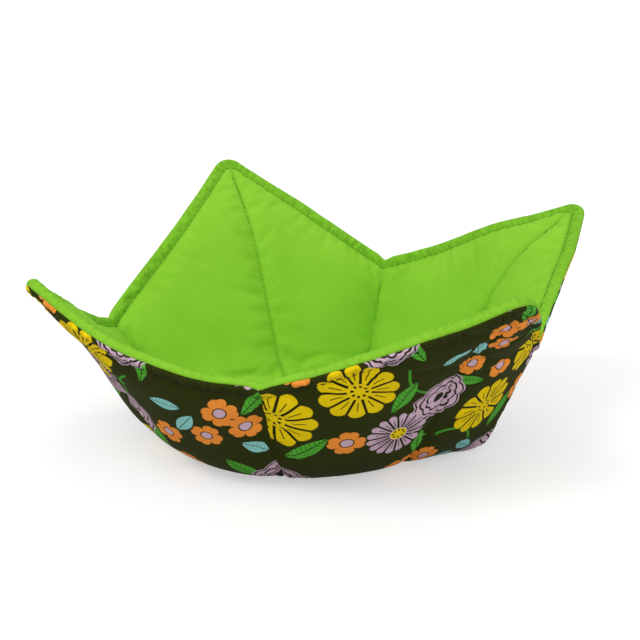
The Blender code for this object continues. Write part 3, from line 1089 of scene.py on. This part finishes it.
# %% Thread for both sheets
def thread_material(name, colour):
    """Spun polyester thread: smoother than the cloth."""
    material = bpy.data.materials.new(name)
    material.use_nodes = True
    tree = material.node_tree
    shader = tree.nodes["Principled BSDF"]
    shader.inputs["Roughness"].default_value = 0.70
    shader.inputs["Specular IOR Level"].default_value = 0.2
    place = tree.nodes.new("ShaderNodeTexCoord").outputs["Object"]
    twist = noise_field(tree, place, 0.0006, 2.0)
    darker = tuple(share * 0.7 for share in colour)
    tree.links.new(mix_colours(tree, twist, darker, colour), shader.inputs["Base Color"])
    return material


lining_thread.data.materials.append(thread_material("lime_thread", srgb("5c9a1c")))
print_thread.data.materials.append(thread_material("olive_thread", srgb("242a0d")))

# %% [markdown]
# ## The print
# The layout is a repeat of loose clusters on a dark olive ground: large daisies, asters and
# rosettes with leaves, small dogwood blossoms, curved stems and slim buds. Motifs are laid from the
# back to the front, so each one takes the cloth so far as its ground.

# %% Lay out the print
def printed_dye(tree, spot):
    """The repeat, motif by motif, on the ground."""
    colour = GROUND

    def lay(kind, place, size, turn=0.0, **values):
        nonlocal colour
        node = tree.nodes.new("ShaderNodeGroup")
        node.node_tree = MOTIFS[kind]
        tree.links.new(spot, node.inputs["Spot"])
        node.inputs["Place"].default_value = (*place, 0.0)
        node.inputs["Size"].default_value = size
        node.inputs["Turn"].default_value = math.radians(turn)
        for key, value in values.items():
            node.inputs[key].default_value = (*value, 1.0) if isinstance(value, tuple) else value
        if isinstance(colour, bpy.types.NodeSocket):
            tree.links.new(colour, node.inputs["Under"])
        else:
            node.inputs["Under"].default_value = (*colour, 1.0)
        colour = node.outputs["Colour"]

    def leaf(place, size, turn, petal=LEAF_GREEN, slim=0.34):
        lay("leaf", place, size, turn, Slim=slim, Petal=petal, Line=DARK)

    def daisy(place, size, turn, petal=YELLOW, heart=YELLOW, petals=11.0):
        lay("daisy", place, size, turn, Petals=petals, Petal=petal, Line=DARK, Heart=heart)

    def rosette(place, size, turn, petal=LILAC, petals=9.0):
        lay("rosette", place, size, turn, Petals=petals, Petal=petal, Line=DARK, Heart=DARK)

    def dogwood(place, size, turn, petal=ORANGE, heart=LILAC):
        lay("dogwood", place, size, turn, Petal=petal, Line=GROUND, Heart=heart)

    def stem(place, size, turn, sweep=45.0):
        lay("stem", place, size, turn, Slim=0.55 / size, Sweep=math.radians(sweep), Petal=STEM_GREEN)

    def aster(place, size, turn):
        daisy(place, size, turn, LILAC, YELLOW, 17.0)

    def bud(place, size, turn):
        leaf(place, size, turn, AQUA, 0.46)

    stem((12.0, -38.0), 15.0, 200.0, 60.0)
    stem((-14.0, 22.0), 16.0, 20.0, 50.0)
    leaf((-8.0, -34.0), 9.5, 35.0)
    leaf((16.0, -14.0), 9.0, 120.0)
    leaf((-16.0, 4.0), 9.0, 60.0)
    leaf((18.0, 33.0), 9.5, 20.0)
    leaf((-16.0, 44.0), 9.0, 140.0)
    leaf((6.0, -59.0), 9.0, 100.0)
    bud((27.0, -36.0), 6.5, 70.0)
    bud((18.0, -43.0), 6.5, 10.0)
    bud((-3.0, 33.0), 6.5, 100.0)
    bud((-13.0, 30.0), 6.0, 150.0)
    daisy((-20.0, -48.0), 14.5, 12.0)
    daisy((14.0, 14.0), 15.0, 40.0)
    rosette((2.0, -17.0), 13.0, 50.0)
    rosette((-2.0, 52.0), 12.5, 30.0)
    aster((-19.0, -14.0), 12.5, 15.0)
    dogwood((-28.0, 12.0), 7.2, 20.0)
    dogwood((-18.0, 18.0), 6.8, 50.0)
    dogwood((-31.0, 26.0), 6.4, 75.0)
    dogwood((30.0, -6.0), 7.0, 10.0)
    dogwood((21.0, -24.0), 6.6, 35.0)
    dogwood((31.0, 36.0), 7.2, 55.0)
    return colour


printed.data.materials.append(cotton("printed_cotton", printed_dye))
print("print nodes:", len(printed.data.materials[0].node_tree.nodes))

# %% [markdown]
# ## Hand over
# Every piece rides on the one body; the table lists the finish that each stands for. Each sheet
# replaces the solid of its own panel, with its thread beside it.

# %% Pieces and finishes
PIECES = (
    (lining, "lining_cotton"),
    (lining_thread, "lining_cotton"),
    (printed, "printed_cotton"),
    (print_thread, "printed_cotton"),
)
for piece, finish in PIECES:
    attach(piece, "root")
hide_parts("lining_panel")
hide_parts("outer_panel")
